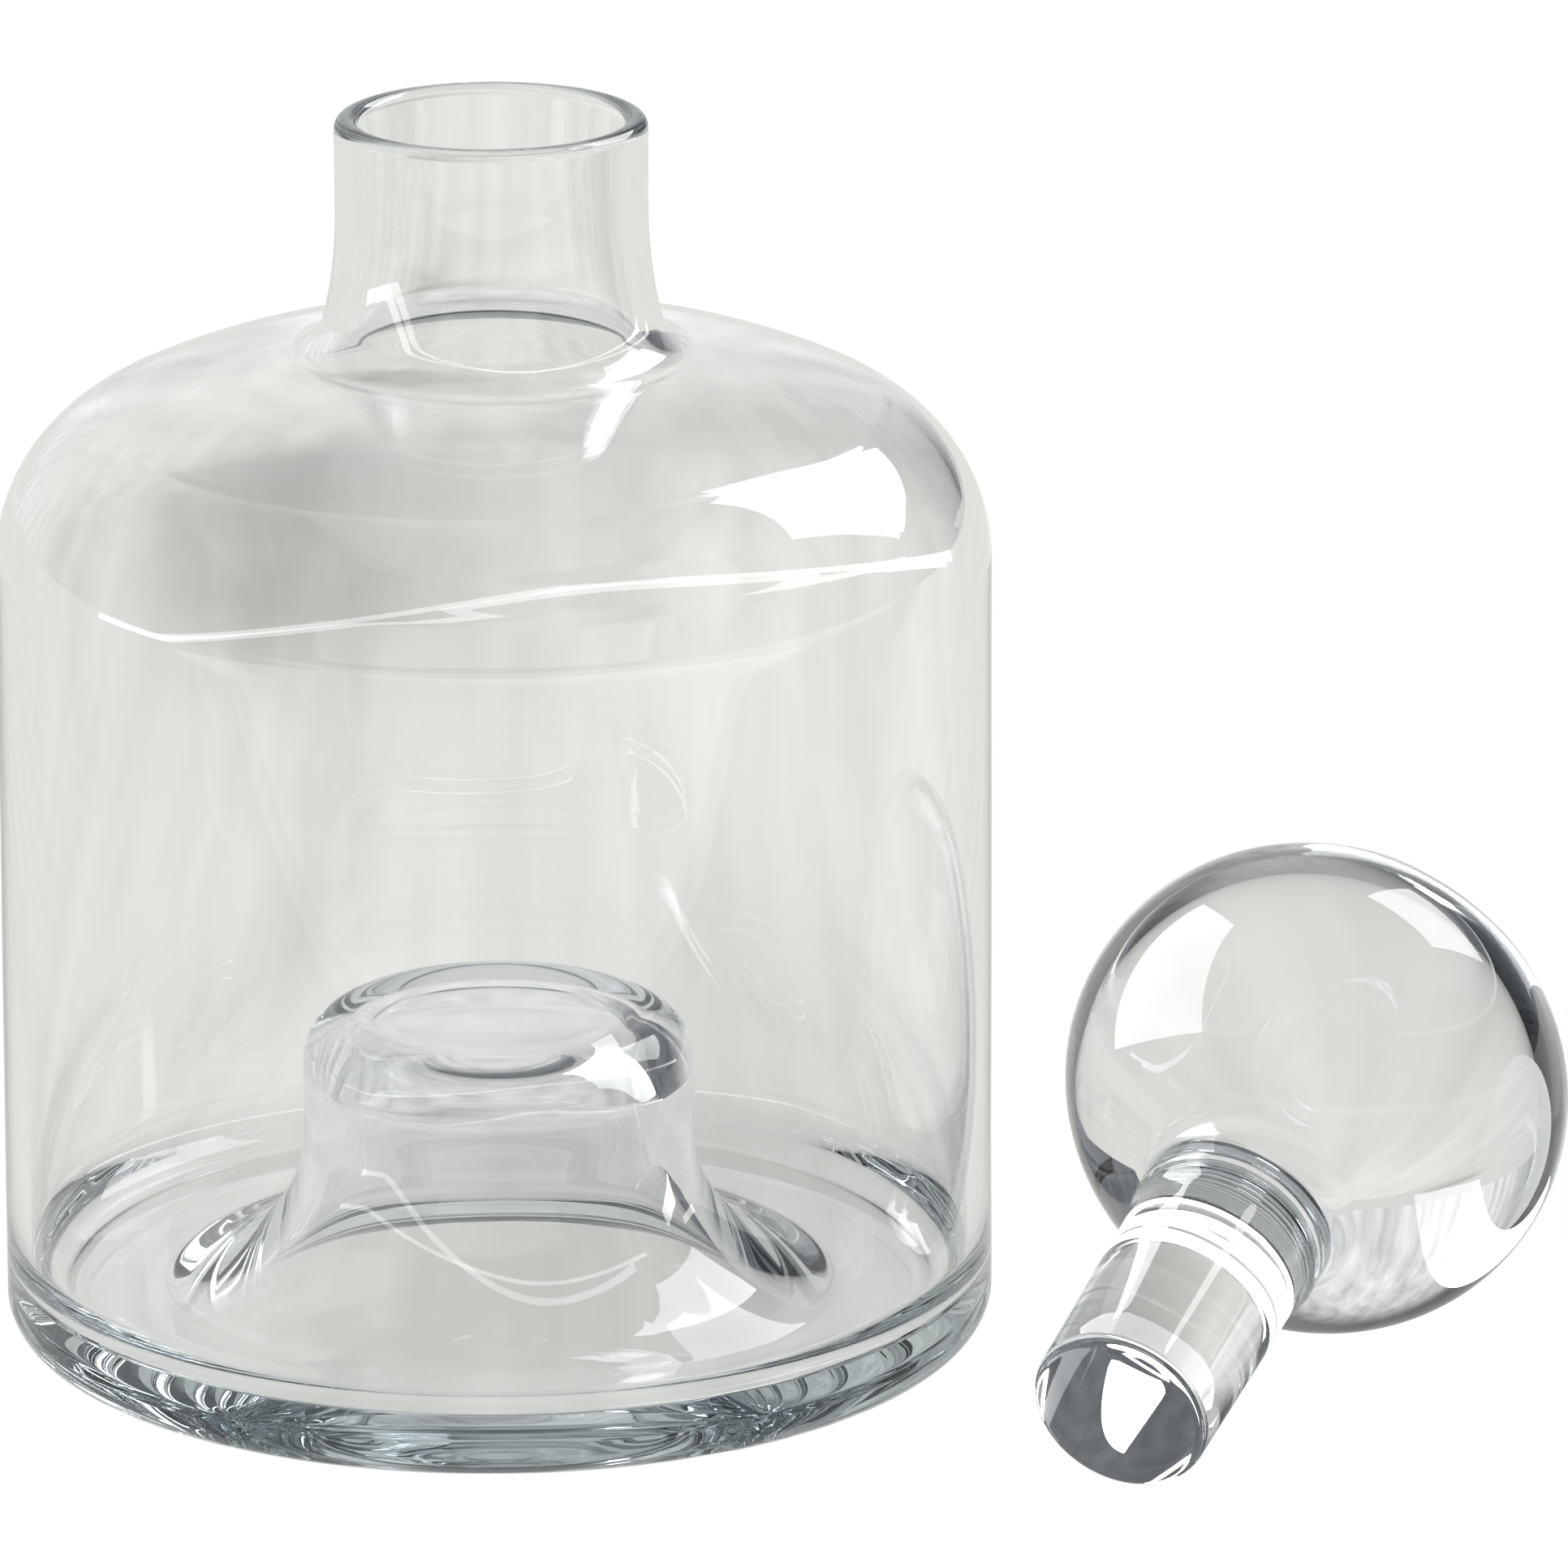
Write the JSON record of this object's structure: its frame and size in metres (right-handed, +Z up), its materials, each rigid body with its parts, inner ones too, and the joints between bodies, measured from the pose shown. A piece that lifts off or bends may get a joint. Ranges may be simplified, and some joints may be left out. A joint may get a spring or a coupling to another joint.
{
  "type": "wine decanter",
  "caption": "Clear blown glass decanter: straight cylindrical body, domed shoulder, short open neck, hollow push-up base, with a solid ball stopper on a plug lying beside it.",
  "frame": {"origin": "on the vessel's own axis, at the level of the table that the vessel and the stopper rest on", "axes": "+Z up along the vessel's axis, +X towards the side that the stopper lies on, -Y towards the side that its plug points to"},
  "size_m": [0.2022, 0.1359, 0.1605],
  "materials": {
    "vessel_glass": "clear, fire-polished, very slightly wavy blown glass",
    "stopper_glass": "clear solid glass, polished"
  },
  "bodies": {
    "vessel": {"vessel": "vessel_glass"},
    "stopper": {"stopper_ball": "stopper_glass", "stopper_plug": "stopper_glass"}
  },
  "joints": [
    {"name": "stopper_lift", "type": "slide", "parent": "vessel", "child": "stopper", "axis": [0, 0, 1], "range_m": [0, 0.2]}
  ]
}
